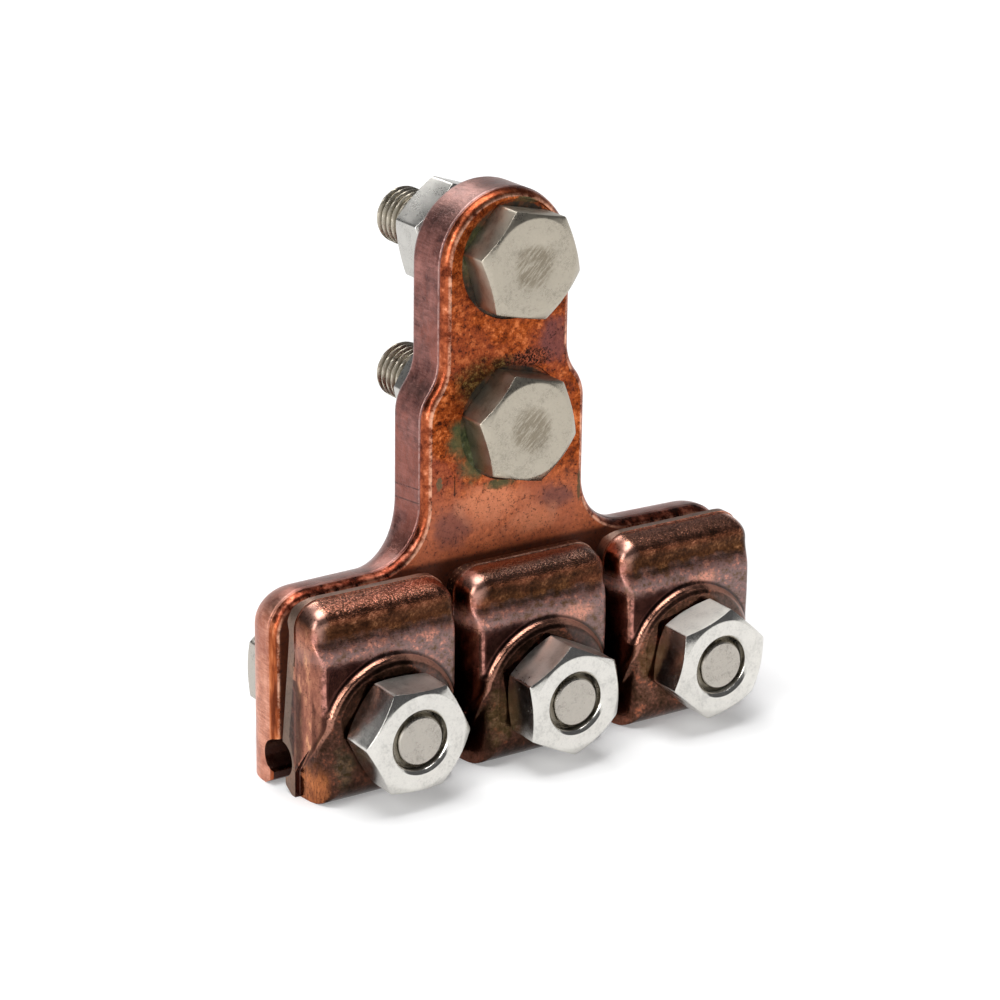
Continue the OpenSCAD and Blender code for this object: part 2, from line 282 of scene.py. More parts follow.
def body_mesh():
    obj = body_plate()
    bolts = [k * PITCH for k in (-1, 0, 1)]
    bosses = [cone_y(x, 0, BOSS_R + BOSS_FLARE, BOSS_R, PLATE_T - BOSS_SINK, HEAD_Y) for x in bolts]
    boolean(obj, bosses, "UNION")
    holes = [cone_y(x, 0, HOLE_R, HOLE_R, -1, HEAD_Y + 1, HOLE_SIDES) for x in bolts]
    for z in (LOW_Z, UPPER_Z):
        holes.append(cone_y(0, z, HOLE_R, HOLE_R, -1, PLATE_T + 1, HOLE_SIDES))
        mouth, bottom = (HEX_R + room for room in HEAD_SEAT_ROOM)
        holes.append(cone_y(0, z, mouth, bottom, -0.2, HEAD_SEAT_D))
    boolean(obj, holes, "DIFFERENCE")
    pocket = np.linspace(POCKET_R - POCKET_Z, -POCKET_R - POCKET_Z, 41)
    zs = np.concatenate([pocket, [-LIP_Z[1], -FOOT, -FOOT - 2]])
    channel = [(-4.0, zs[0]), *zip(channel_depth(zs), zs), (-4.0, zs[-1])]
    back, top = PLATE_T - FOOT_BEVEL, FOOT_BEVEL - FOOT
    bevel = [(back, -FOOT - 1), (back, -FOOT), (PLATE_T, top), (PLATE_T + 1, top), (PLATE_T + 1, -FOOT - 1)]
    boolean(obj, [prism_x(channel, HALF_L + 1), prism_x(bevel, HALF_L + 1)], "DIFFERENCE")
    shade(obj, 32, weighted=True)
    return obj


# Forged jaws: a front relief over a trimmed rim


def smooth_max(a, b, k):
    h = np.maximum(k - np.abs(a - b), 0) / k
    return np.maximum(a, b) + h * h * k / 4


def smooth_min(a, b, k):
    return -smooth_max(-a, -b, k)


def quarter(t):
    """Quarter circle from 0 to 1."""
    t = np.clip(t, 0, 1)
    return np.sqrt(1 - (1 - t) ** 2)


def inside(x, z):
    """Distance in from the rim's outline, whose two upper corners are round."""
    dx = np.abs(x) - (JAW_W / 2 - JAW_CORNER)
    dz = z - (JAW_RISE - JAW_CORNER)
    corner = JAW_CORNER - np.hypot(np.maximum(dx, 0), np.maximum(dz, 0))
    below = np.where(dz > 0, JAW_CORNER - dz, np.inf)
    return np.where((dx > 0) & (dz > 0), corner, np.minimum(JAW_CORNER - dx, below))


def roll_profile():
    """Depth in front of the rim against height: the roll, the waist under it and the flat face, softened."""
    step, reach, blur = 0.02, 160, 0.9
    z = np.arange(-14, 21.3, step)
    centre_f, centre_z = ROLL_F - ROLL_R, JAW_RISE - ROLL_R
    turn = math.radians(WAIST_TURN)
    under_f, under_z = centre_f - ROLL_R * math.cos(turn), centre_z + ROLL_R * math.sin(turn)
    roll = centre_f + np.sqrt(np.maximum(0, ROLL_R ** 2 - (z - centre_z) ** 2))
    t = np.clip((under_z - z) / WAIST_H, 0, 1)
    f = np.where(z > under_z, roll, under_f + (FACE_F - under_f) * t * t * (3 - 2 * t))
    f = np.where(z < 2.0, np.interp(z, [-7.9, 2.0], [0.0, FACE_F]), f)
    kernel = np.exp(-0.5 * (np.arange(-reach, reach + 1) * step / blur) ** 2)
    soft = np.convolve(np.pad(f, reach, mode="edge"), kernel / kernel.sum(), mode="valid")
    keep = np.where(z < 1.0, np.clip(1.0 - z, 0, 1), np.clip((z - 17.4) / 1.4, 0, 1))
    return z, soft * (1 - keep) + f * keep


PROFILE_Z, PROFILE_F = roll_profile()


def jaw_rear(z):
    return np.where(z < LAND_Z, -JAW_GAP - channel_depth(z), np.interp(z, REAR_Z, REAR_Y))


def rim_drop(z):
    """How far the rim's front lies behind its top's, following the sloped back down to the tongue's tip."""
    slope = np.interp(z, [-8.0, -5.5, -2.0, 12.0], [0.0, 0.9, 1.9, 0.0])
    return np.clip(np.minimum(slope, jaw_rear(z) - RIM_Y - RIM_LEAST), 0, None)


def block_form(x, z):
    """Upper block: sides that round in to the front, which follows the roll's profile."""
    low = RIM_F - rim_drop(z)
    side_in = inside(x, z) - np.interp(z, [8.0, 14.0], [0.02, 0.2])
    block = np.minimum(low + (SIDE_F - low) * quarter(side_in / SIDE_ROUND), FACE_F)
    blend = np.interp(z, [0.0, 4.0, 13.0, 16.5], [0.3, 1.0, 1.0, 2.4])
    return smooth_min(block, np.interp(z, PROFILE_Z, PROFILE_F), blend)


def bell_depth(x, z):
    """Signed distance in from the edge of the bell-shaped nut seat, positive inside."""
    z = z + BELL_PRESS * np.clip((z - 4.0) / 6.0, 0, 1)
    flank_x = JAW_W / 2 - BELL_IN
    touch = math.atan2(BELL_Z, flank_x) + math.acos(min(1.0, BELL_R / math.hypot(flank_x, BELL_Z)))
    nx, nz = math.cos(touch), math.sin(touch)
    ax = np.abs(x)
    flank = -((ax - BELL_R * nx) * nx + (z - BELL_R * nz) * nz)
    return np.where(np.arctan2(z, ax) > touch, BELL_R - np.hypot(ax, z), flank)


def skirt_form(x, z):
    """Skirt under the block: the nut seat with its sides and the round of its foot."""
    side_in = JAW_W / 2 - np.abs(x) - SKIRT_IN
    fullness = 2.2
    t = (bell_depth(x, z) + 0.35) / SEAT_FLARE
    seat_rise = np.where(t > 0, 1 - (1 - np.clip(t, 0, 1)) ** fullness, fullness * t)
    seat = FACE_F + (SEAT_F - FACE_F) * seat_rise
    foot = SEAT_F - FOOT_ROUND + FOOT_ROUND * quarter((z + FOOT) / FOOT_ROUND)
    sides = RIM_F + (SEAT_F - RIM_F) * quarter(side_in / SKIRT_ROUND)
    return np.minimum(np.minimum(sides, seat), foot)


def seam(x, z):
    """Distance out from the line where the block meets the skirt, and the skirt's steepness there."""
    def slope(form):
        h = 0.03
        dx = (form(x + h, z) - form(x - h, z)) / (2 * h)
        dz = (form(x, z + h) - form(x, z - h)) / (2 * h)
        return np.sqrt(1 + dx * dx + dz * dz)

    def between(x, z):
        return block_form(x, z) - skirt_form(x, z)

    return between(x, z) / np.minimum(slope(between), 8.0), np.minimum(slope(skirt_form), 5.0)


def relief(x, z):
    """Depth of the jaw's front before its rim, with a bead along the seam, fading down and to the right."""
    height, inward, width = 0.25, 0.20, 0.40
    away, steep = seam(x, z)
    bead = height * steep * np.exp(-((away + inward) / width) ** 2)
    bead = bead * np.interp(x, [1.0, 6.0], [1.0, 0.25]) * np.clip((z + 8.0) / 5.0, 0, 1)
    front = smooth_max(block_form(x, z), skirt_form(x, z), 0.3) + bead
    return np.maximum(front, -rim_drop(z))


def jaw_grid():
    """Rows of x and z over the jaw's front, close together at its edges and along the seam."""
    edge = np.array([0, .1, .19, .22, .26, .32, .41, .54, .68, .82, .96, 1.1, 1.25, 1.4, 1.55, 1.7, 1.85,
                     2.0, 2.2, 2.4, 2.65, 2.9, 3.2, 3.5, 3.8, 4.1])
    foot = np.array([4.4, 3.9, 3.4, 2.9, 2.4, 1.9, 1.45, 1.05, .7, .42, .2, .07, 0])
    edge_w, row_h, seam_row_h, columns = 4.3, 0.2, 0.13, 124
    zs = np.concatenate([JAW_RISE - edge, np.arange(JAW_RISE - edge_w, 0.0, -row_h),
                         np.arange(0.0, -7.85, -seam_row_h), foot - FOOT])
    rows = []
    for z in zs:
        dz = max(0.0, z - (JAW_RISE - JAW_CORNER))
        w = JAW_W / 2 - JAW_CORNER + math.sqrt(max(0.0, JAW_CORNER ** 2 - dz * dz))
        middle = np.linspace(-w + edge_w, w - edge_w, columns)
        rows.append(np.concatenate([-w + edge, middle, (w - edge)[::-1]]))
    x = np.array(rows)
    return x, np.repeat(zs[:, None], x.shape[1], 1)


def jaw_faces(nr, nc):
    """Faces of a front grid, a rear grid and the rim between them."""
    m = nr * nc
    faces = []
    for i in range(nr - 1):
        for j in range(nc - 1):
            a = i * nc + j
            faces.append([a, a + 1, a + nc + 1, a + nc])
            faces.append([m + a, m + a + nc, m + a + nc + 1, m + a + 1])
    rim = list(range(nc)) + [i * nc + nc - 1 for i in range(1, nr)]
    rim += [(nr - 1) * nc + j for j in range(nc - 2, -1, -1)] + [i * nc for i in range(nr - 2, 0, -1)]
    return faces + [[a, b, m + b, m + a] for a, b in zip(rim, rim[1:] + rim[:1])]


def jaw_mesh(name, k):
    x, z = jaw_grid()
    f = relief(x, z)
    f[0, :] = 0.0
    f[:, 0] = -rim_drop(z[:, 0])
    f[:, -1] = -rim_drop(z[:, -1])
    front = np.stack([x, RIM_Y - f, z], 2).reshape(-1, 3)
    rear = np.stack([x, jaw_rear(z), z], 2).reshape(-1, 3)
    obj = new_object(name, np.concatenate([front, rear]) + (k * PITCH, 0, 0), jaw_faces(*x.shape))
    boolean(obj, [cone_y(k * PITCH, 0, HOLE_R, HOLE_R, -20, 2, HOLE_SIDES)], "DIFFERENCE")
    shade(obj, 38)
    # the distance from the seam is kept on the points, for the material
    at = np.empty(len(obj.data.vertices) * 3)
    obj.data.vertices.foreach_get("co", at)
    at = at.reshape(-1, 3) / MM - (k * PITCH, -MID_Y, FOOT)
    mark = obj.data.attributes.new("seam", "FLOAT", "POINT")
    mark.data.foreach_set("value", np.clip(seam(at[:, 0], at[:, 2])[0], -9, 9))
    return obj


# Hexagon bolts and nuts


def hex_angles(turn):
    """Angles round a hexagon, close together at its corners."""
    near = np.array([-9, -5, -3, -1.8, -0.9, 0, 0.9, 1.8, 3, 5, 9, 15, 21.5, 30, 38.5, 45])
    return np.radians(np.concatenate([near + 60 * k for k in range(6)]) - turn)


def hex_radius(th, turn):
    """Radius of a hexagon with slightly rounded corners."""
    sharpness = 90.0
    flats = np.radians(-turn + 30 + 60 * np.arange(6))
    c = np.maximum(0, np.cos(th[:, None] - flats[None, :]))
    return AF / 2 * np.sum(c ** sharpness, 1) ** (-1 / sharpness)


def ring(th, r, y):
    r = np.broadcast_to(r, th.shape)
    y = np.broadcast_to(y, th.shape)
    return np.stack([r * np.cos(th), y, r * np.sin(th)], 1)


def lathe(rings, start=None, end=None, loop=False):
    """Skin over rings, closed by points on the axis or, in a loop, on itself."""
    n = len(rings[0])
    pts = np.concatenate(rings)
    faces = []
    count = len(rings)
    for k in range(count if loop else count - 1):
        a, b = k * n, ((k + 1) % count) * n
        faces += [[a + i, a + (i + 1) % n, b + (i + 1) % n, b + i] for i in range(n)]
    if start is not None:
        faces += [[len(pts), (i + 1) % n, i] for i in range(n)]
        pts = np.concatenate([pts, [(0, start, 0)]])
    if end is not None:
        b = (count - 1) * n
        faces += [[len(pts), b + i, b + (i + 1) % n] for i in range(n)]
        pts = np.concatenate([pts, [(0, end, 0)]])
    return pts, faces


def hex_side(th, turn, h, low_bevel):
    """Rings down one bevelled hexagon face at y = 0 and along its flats to y = h."""
    rh = hex_radius(th, turn)
    drop = (rh - FACE_R) * TAN30
    inner = [(FACE_R - 0.2, 0.0), (FACE_R - 0.02, 0.015), (FACE_R + 0.18, 0.10)]
    middle = [(FACE_R + (rh - FACE_R) * 0.6, drop * 0.6)]
    outer = [(rh - 0.07, drop - 0.07 * TAN30), (rh - 0.015, drop + 0.03), (rh, drop + 0.12)]
    rings = [ring(th, r, y) for r, y in inner + middle + outer]
    rings.append(ring(th, rh, h / 2))
    low = reversed(inner + outer) if low_bevel else ((rh, 0.1), (rh - 0.03, 0.03), (rh - 0.1, 0.0))
    return rings + [ring(th, r, h - y) for r, y in low]


def bolt_shape(turn):
    """Bolt with its head's underside at y = 0, threaded along +Y to its end at BOLT_L."""
    th = hex_angles(turn)
    dish = [ring(th, r, y) for r, y in ((1.5, 0.10), (3.9, 0.10), (4.4, 0.0), (6.4, 0.0))]
    rings = [r - (0, HEAD_H, 0) for r in dish + hex_side(th, turn, HEAD_H, False)]
    rings.append(ring(th, BOLT_R + 0.3, 0.0))
    for y in np.concatenate([[0.0], np.arange(0.3, BOLT_L - 0.001, 0.125), [BOLT_L]]):
        u = (y / THREAD_PITCH - th / (2 * math.pi)) % 1.0
        crest = np.clip((np.abs(2 * u - 1) - 0.22) / 0.62, 0, 1)
        depth = THREAD_DEPTH * np.clip((y - 1.0) / 1.5, 0, 1)
        point = POINT_R + BOLT_L - y
        rings.append(ring(th, np.minimum(BOLT_R - depth * (1 - crest), point), y))
    rings.append(ring(th, 3.7, BOLT_L))
    rings.append(ring(th, 2.0, BOLT_L - 0.05))
    return lathe(rings, start=0.10 - HEAD_H, end=BOLT_L - 0.05)


def nut_shape(turn):
    """Nut from y = 0 to NUT_H, its bore widened at both ends."""
    th = hex_angles(turn)
    mouth = [(BORE_R, 0.55), (BORE_R + 0.07, 0.45), (BORE_R + 0.43, 0.07), (BORE_R + 0.55, 0.0)]
    rings = [ring(th, r, y) for r, y in [(BORE_R, NUT_H / 2)] + mouth]
    rings += hex_side(th, turn, NUT_H, True)
    rings += [ring(th, r, NUT_H - y) for r, y in reversed(mouth)]
    return lathe(rings, loop=True)


def fastener(name, shape, at, mirrored=False):
    pts, faces = shape
    if mirrored:
        pts = pts * (1, -1, 1)
    obj = new_object(name, pts + at, faces)
    shade(obj, 28)
    return obj


# Materials. Positions and heights in them are millimetres in the CAD frame, and colours are linear.


class Tree:
    """Node tree of a material or world, with a short name for each step."""

    def __init__(self, owner, output="OutputMaterial"):
        self.owner = owner
        owner.use_nodes = True
        self.nodes = owner.node_tree.nodes
        self.links = owner.node_tree.links
        self.nodes.clear()
        self.output = self.node(output)

    def put(self, socket, value):
        if isinstance(value, bpy.types.NodeSocket):
            self.links.new(value, socket)
        elif isinstance(value, tuple) and len(value) == 3 and socket.type == "RGBA":
            socket.default_value = (*value, 1.0)
        else:
            socket.default_value = value

    def node(self, kind, *values, **settings):
        n = self.nodes.new("ShaderNode" + kind)
        for key, value in settings.items():
            setattr(n, key, value)
        for socket, value in zip(n.inputs, values):
            self.put(socket, value)
        return n

    def math(self, op, *values):
        return self.node("Math", *values, operation=op).outputs[0]

    def chain(self, op, values):
        total = values[0]
        for value in values[1:]:
            total = self.math(op, total, value)
        return total

    def times(self, *values):
        return self.chain("MULTIPLY", values)

    def plus(self, *values):
        return self.chain("ADD", values)

    def minus(self, *values):
        return self.chain("SUBTRACT", values)

    def most(self, *values):
        return self.chain("MAXIMUM", values)

    def size(self, value):
        return self.math("ABSOLUTE", value)

    def length(self, a, b):
        return self.math("SQRT", self.plus(self.times(a, a), self.times(b, b)))

    def blend(self, a, share, b):
        """Mean of two values, with the first one's share given."""
        return self.plus(self.times(a, share), self.times(b, 1.0 - share))

    def swing(self, noise, amount):
        """A noise value brought to lie about zero."""
        return self.times(self.minus(noise, 0.5), amount)

    def smooth(self, v, lo, hi, a=0.0, b=1.0):
        """Soft step from a at lo to b at hi, where lo may be the higher."""
        return self.node("MapRange", v, lo, hi, a, b, interpolation_type="SMOOTHSTEP").outputs[0]

    def band(self, v, rise, full, still, gone):
        """1 between full and still, 0 below rise and above gone."""
        return self.times(self.smooth(v, rise, full), self.smooth(v, gone, still))

    def mix(self, fac, a, b):
        n = self.node("Mix", data_type="RGBA")
        for i, value in ((0, fac), (6, a), (7, b)):
            self.put(n.inputs[i], value)
        return n.outputs[2]

    def coat(self, under, over, *masks):
        """Second colour over the first, as strong as the product of the masks."""
        return self.mix(self.times(*masks), under, over)

    def noise(self, vec, scale, detail, rough):
        n = self.node("TexNoise")
        for key, value in (("Vector", vec), ("Scale", scale), ("Detail", detail), ("Roughness", rough)):
            self.put(n.inputs[key], value)
        return n.outputs[0]

    def ramp(self, fac, *stops):
        n = self.node("ValToRGB", fac)
        elements = n.color_ramp.elements
        while len(elements) < len(stops):
            elements.new(0.5)
        for element, (position, color) in zip(elements, stops):
            element.position = position
            element.color = (*color, 1.0)
        return n.outputs[0]

    def scaled(self, vec, s):
        return self.node("VectorMath", vec, s, operation="MULTIPLY").outputs[0]

    def shifted(self, vec, s):
        return self.node("VectorMath", vec, s, operation="ADD").outputs[0]

    def place(self):
        """Position in millimetres as p, with its parts x, y and z, and across for the way over the front."""
        self.p = self.scaled(self.node("TexCoord").outputs["Object"], (1 / MM, 1 / MM, 1 / MM))
        self.x, self.y, self.z = self.node("SeparateXYZ", self.p).outputs
        self.across = self.x

    def facing(self):
        """Parts of the direction in which the surface faces."""
        normal = self.node("NewGeometry").outputs["Normal"]
        self.nx, self.ny, self.nz = self.node("SeparateXYZ", normal).outputs

    def seen(self):
        """1 for what the camera sees, mirrored or through glass too."""
        path = self.node("LightPath").outputs
        return self.most(path["Is Camera Ray"], path["Is Glossy Ray"], path["Is Transmission Ray"])

    def spot(self, cx, cz, rx, rz, wobble, inner=0.5, outer=1.3):
        """Soft ellipse on the front, its edge broken up by a noise value."""
        dx = self.math("DIVIDE", self.minus(self.across, cx), rx)
        dz = self.math("DIVIDE", self.minus(self.z, cz), rz)
        return self.smooth(self.plus(self.length(dx, dz), self.swing(wobble, 1.6)), inner, outer, 1.0, 0.0)

    def spots(self, *places):
        """Strongest of several spots, each with its strength first."""
        return self.most(*[self.times(self.spot(*spot), strength) for strength, *spot in places])

    def bump(self, height, strength, distance, normal=None):
        n = self.node("Bump")
        for key, value in (("Strength", strength), ("Distance", distance), ("Height", height)):
            self.put(n.inputs[key], value)
        if normal is not None:
            self.put(n.inputs["Normal"], normal)
        return n.outputs[0]

    def finish(self, color, metallic, rough, normal):
        values = {"Base Color": color, "Metallic": metallic, "Roughness": rough, "Normal": normal}
        n = self.node("BsdfPrincipled")
        for key, value in values.items():
            self.put(n.inputs[key], value)
        self.put(self.output.inputs[0], n.outputs[0])
        return self.owner


def material(name):
    t = Tree(bpy.data.materials.new(name))
    t.place()
    t.facing()
    return t


def body_front(t):
    """Orange copper of the front face, with purple and brown tarnish lower down and between the heads."""
    mid, fine = t.mid, t.fine
    color = t.ramp(t.blend(mid, 0.55, fine), (0.36, (0.045, 0.009, 0.004)), (0.44, (0.18, 0.034, 0.008)),
                   (0.52, (0.36, 0.072, 0.015)), (0.61, (0.70, 0.200, 0.062)))
    veil = t.mix(fine, (0.15, 0.034, 0.022), (0.36, 0.085, 0.050))
    color = t.coat(color, veil, t.smooth(t.big, 0.47, 0.60), t.smooth(t.z, 84.0, 40.0, 0.2, 0.75))
    color = t.coat(color, t.mix(fine, (0.46, 0.098, 0.036), (0.98, 0.300, 0.125)), t.low, 0.7)
    patch = t.spots((1.0, 8.6, 68.0, 3.4, 3.8, mid), (0.8, -11.5, 38.8, 4.2, 3.6, mid),
                    (0.85, 9.0, 40.2, 3.4, 2.6, mid))
    color = t.coat(color, t.mix(fine, (0.11, 0.040, 0.038), (0.22, 0.080, 0.075)), patch, 0.8)
    pale = t.spots((1.0, -4.0, 41.5, 6.5, 3.4, mid), (0.8, 5.0, 37.4, 5.5, 2.6, mid))
    color = t.coat(color, t.mix(fine, (0.80, 0.215, 0.090), (1.0, 0.43, 0.225)), pale, 0.6)
    return t.coat(color, (0.030, 0.009, 0.006), t.speck, 0.8)


def body_wall(t):
    """Side walls: duller mauve brown with fine drawn scratches, paler at the bar's left end, with a painted
    highlight on faces turned up.
    """
    wall = t.ramp(t.blend(t.drawn, 0.35, t.mid), (0.37, (0.085, 0.026, 0.022)),
                  (0.50, (0.210, 0.078, 0.064)), (0.63, (0.36, 0.150, 0.125)))
    end = t.ramp(t.blend(t.drawn, 0.5, t.mid), (0.38, (0.36, 0.115, 0.062)), (0.50, (0.56, 0.225, 0.140)),
                 (0.62, (0.74, 0.36, 0.25)))
    wall = t.coat(wall, end, t.smooth(t.x, -38.0, -44.5))
    # painted highlight: a paler colour on the faces that turn up
    top = t.mix(t.mid, (0.24, 0.135, 0.115), (0.60, 0.41, 0.36))
    wall = t.coat(wall, top, t.smooth(t.nz, 0.35, 0.95, 0.0, 0.45))
    rust = t.mix(t.fine, (0.18, 0.040, 0.024), (0.38, 0.100, 0.058))
    return t.coat(wall, rust, t.smooth(t.big, 0.50, 0.60), t.smooth(t.z, 88.0, 66.0), 0.45)


def body_rim(t):
    """Rounded front edge: red brown, blackened along the bar's top, orange at the bar's left end."""
    rim = t.ramp(t.stain, (0.36, (0.070, 0.014, 0.007)), (0.46, (0.220, 0.048, 0.020)),
                 (0.55, (0.400, 0.100, 0.040)), (0.66, (0.860, 0.340, 0.180)))
    black = t.ramp(t.stain, (0.42, (0.010, 0.005, 0.004)), (0.50, (0.13, 0.026, 0.015)),
                   (0.60, (0.56, 0.180, 0.110)))
    rim = t.coat(rim, black, t.smooth(t.nz, 0.15, 0.5), t.smooth(t.z, 52.0, 36.0), 0.8)
    streak = t.noise(t.scaled(t.p, (1.0, 1.0, 0.14)), 0.9, 3.0, 0.55)
    orange = t.ramp(streak, (0.36, (0.110, 0.024, 0.010)), (0.46, (0.26, 0.062, 0.022)),
                    (0.55, (0.46, 0.130, 0.046)), (0.66, (0.88, 0.38, 0.19)))
    return t.coat(rim, orange, t.smooth(t.x, -40.0, -43.5), t.smooth(t.z, 30.0, 24.0), 0.9)


def body_edge_marks_and_highlight(t, color):
    """Dark dots, a painted highlight as a bright line inside the rounded edge, and a trim line where the
    side wall ends.
    """
    dots = t.times(t.band(t.ny, -0.998, -0.985, -0.96, -0.93), t.smooth(t.fine, 0.50, 0.42))
    color = t.coat(color, (0.040, 0.010, 0.007), dots, 0.8)
    # painted highlight: a bright line along the inside of the rounded edge
    wear_and_highlight = t.times(t.band(t.ny, -0.995, -0.975, -0.92, -0.78), t.smooth(t.stain, 0.42, 0.60))
    color = t.coat(color, (0.90, 0.50, 0.34), wear_and_highlight, 0.7)
    line = t.times(t.band(t.y, -5.72, -5.60, -5.42, -5.30), t.smooth(t.fine, 0.36, 0.56, 0.3, 1.0))
    return t.coat(color, (0.42, 0.265, 0.24), line, t.smooth(t.z, 34.0, 46.0, 0.2, 0.75))


def body_dirt_and_shade(t, color):
    """Painted shade with dark crud in the gap round the two heads, with verdigris, oily dirt and pits by the
    lower one, and chips.
    """
    mid, fine, grit = t.mid, t.fine, t.grit
    dz = t.minus(t.size(t.minus(t.z, HEADS_MID)), HEADS_HALF)
    near = t.length(t.x, dz)
    gap = t.length(t.x, t.plus(dz, t.smooth(t.z, 68.0, 69.5, -0.4, 0.4)))
    gap = t.plus(gap, t.swing(fine, 0.8))
    t.ring = t.times(t.smooth(near, 11.0, 10.6), t.band(t.y, -7.34, -7.15, -6.9, -6.6),
                     t.smooth(gap, 9.95, 9.65, 0.25, 1.0))
    t.oil = t.times(t.spots((1.0, -6.2, 62.2, 4.4, 4.2, mid), (1.0, -1.5, 65.0, 3.0, 1.6, mid)), t.face)
    t.moss = t.times(t.spots((1.0, -9.8, 53.4, 2.6, 3.4, mid), (1.0, -7.2, 48.6, 2.8, 2.4, mid),
                             (1.0, -2.2, 44.7, 2.8, 0.9, fine), (0.9, 2.6, 92.2, 2.4, 0.9, mid)), t.face)
    oily = t.ramp(t.blend(fine, 0.6, grit), (0.42, (0.030, 0.014, 0.007)), (0.50, (0.075, 0.042, 0.012)),
                  (0.60, (0.26, 0.190, 0.070)))
    color = t.coat(color, oily, t.oil, 0.85)
    color = t.coat(color, t.mix(fine, (0.018, 0.036, 0.004), (0.135, 0.175, 0.060)), t.moss, 0.85)
    # painted shade, with dark crud, in the seat recesses round the two heads
    black = t.ramp(mid, (0.38, (0.008, 0.009, 0.005)), (0.48, (0.040, 0.028, 0.014)),
                   (0.60, (0.160, 0.062, 0.026)))
    color = t.coat(color, black, t.ring, 0.95)
    green = t.ramp(mid, (0.40, (0.022, 0.036, 0.006)), (0.50, (0.080, 0.096, 0.028)),
                   (0.62, (0.190, 0.220, 0.120)))
    verdigris = t.spots((1.0, -8.6, 50.6, 4.2, 6.4, mid), (0.8, -8.8, 85.5, 3.6, 5.0, mid))
    color = t.coat(color, green, t.ring, verdigris, 0.9)
    t.pits = t.times(t.spot(3.2, 65.4, 4.4, 1.4, fine), t.face)
    pitted = t.mix(t.smooth(grit, 0.44, 0.56), (0.012, 0.005, 0.004), (0.36, 0.090, 0.045))
    color = t.coat(color, pitted, t.pits, 0.9)
    t.chips = t.spots((1.0, -14.0, 46.6, 0.8, 1.4, fine, 0.6, 0.9),
                      (1.0, 13.9, 41.4, 0.5, 3.0, fine, 0.6, 0.9))
    color = t.coat(color, (0.19, 0.135, 0.060), t.chips, 0.8)
    return t.coat(color, (0.035, 0.016, 0.008), t.spot(-11.0, 46.0, 0.22, 3.2, fine, 0.4, 1.0), 0.85)


def body_shade(t, color):
    """Painted shade on the front behind the jaws and in the wire channel, and two scratches across the tab's
    left side wall.
    """
    # painted shade on the front face behind the tops of the jaws
    color = t.coat(color, (0.032, 0.008, 0.005), t.smooth(t.z, 33.8, 32.6), t.face, 0.8)
    # painted shade inside the wire channel
    channel = t.times(t.band(t.y, -7.38, -7.15, -4.3, -3.9), t.smooth(t.z, 8.6, 8.2),
                      t.smooth(t.size(t.nx), 0.6, 0.3))
    color = t.coat(color, (0.045, 0.012, 0.008), channel, 0.85)
    cuts = []
    for height, slope in ((44.99, -0.112), (42.62, -0.103)):
        off = t.size(t.minus(t.z, t.plus(t.times(t.y, slope), height)))
        cuts.append(t.smooth(off, 0.20, 0.05))
    on_wall = t.times(t.smooth(t.nx, -0.6, -0.9), t.smooth(t.y, -5.7, -5.4))
    broken = t.smooth(t.fine, 0.38, 0.5, 0.2, 0.8)
    return t.coat(color, (0.040, 0.014, 0.012), t.most(*cuts), on_wall, broken)


def body_copper():
    t = material("body_copper")
    t.big = t.noise(t.p, 0.085, 4.0, 0.6)
    t.mid = t.noise(t.shifted(t.p, (31.0, 7.0, 3.0)), 0.36, 6.0, 0.64)
    t.fine = t.noise(t.shifted(t.p, (5.0, 11.0, 40.0)), 1.5, 5.0, 0.68)
    t.grit = t.noise(t.shifted(t.p, (9.0, 2.0, 8.0)), 3.6, 4.0, 0.62)
    t.drawn = t.noise(t.scaled(t.p, (1.0, 0.14, 1.0)), 2.6, 4.0, 0.7)
    t.stain = t.blend(t.mid, 0.7, t.fine)
    t.speck = t.smooth(t.blend(t.grit, 0.6, t.fine), 0.45, 0.375)
    t.low = t.smooth(t.z, 48.0, 39.0)
    t.face = t.smooth(t.ny, -0.955, -0.99)
    edge = t.times(t.smooth(t.y, -5.75, -6.0), t.smooth(t.ny, -0.985, -0.955))
    color = t.coat(body_wall(t), body_front(t), t.face)
    color = t.coat(color, body_rim(t), edge)
    color = body_edge_marks_and_highlight(t, color)
    color = body_dirt_and_shade(t, color)
    color = body_shade(t, color)
    dirt = t.most(t.ring, t.moss, t.chips)
    tab_foot = t.times(t.low, t.face)
    off_front = t.minus(1.0, t.most(t.face, edge))
    rough = t.plus(0.16, t.times(t.mid, 0.26), t.times(dirt, 0.30), t.times(off_front, 0.06),
                   t.times(tab_foot, 0.16))
    metal = t.minus(1.0, t.most(t.times(dirt, 0.8), t.times(tab_foot, 0.6)))
    pitted = t.times(t.pits, t.smooth(t.grit, 0.55, 0.42), 0.9)
    h = t.minus(t.plus(t.times(t.mid, 0.9), t.times(t.fine, 0.42)), t.times(t.speck, 0.14), pitted,
                t.times(t.oil, t.fine, 1.2))
    hammered = t.bump(t.times(h, t.minus(1.0, t.times(edge, 0.7))), 0.6, HAMMERED)
    h = t.plus(t.grit, t.times(t.drawn, 0.4))
    gritty = t.bump(t.times(h, t.minus(1.0, t.times(edge, 0.6))), 0.35, GRITTY, hammered)
    return t.finish(color, metal, rough, gritty)
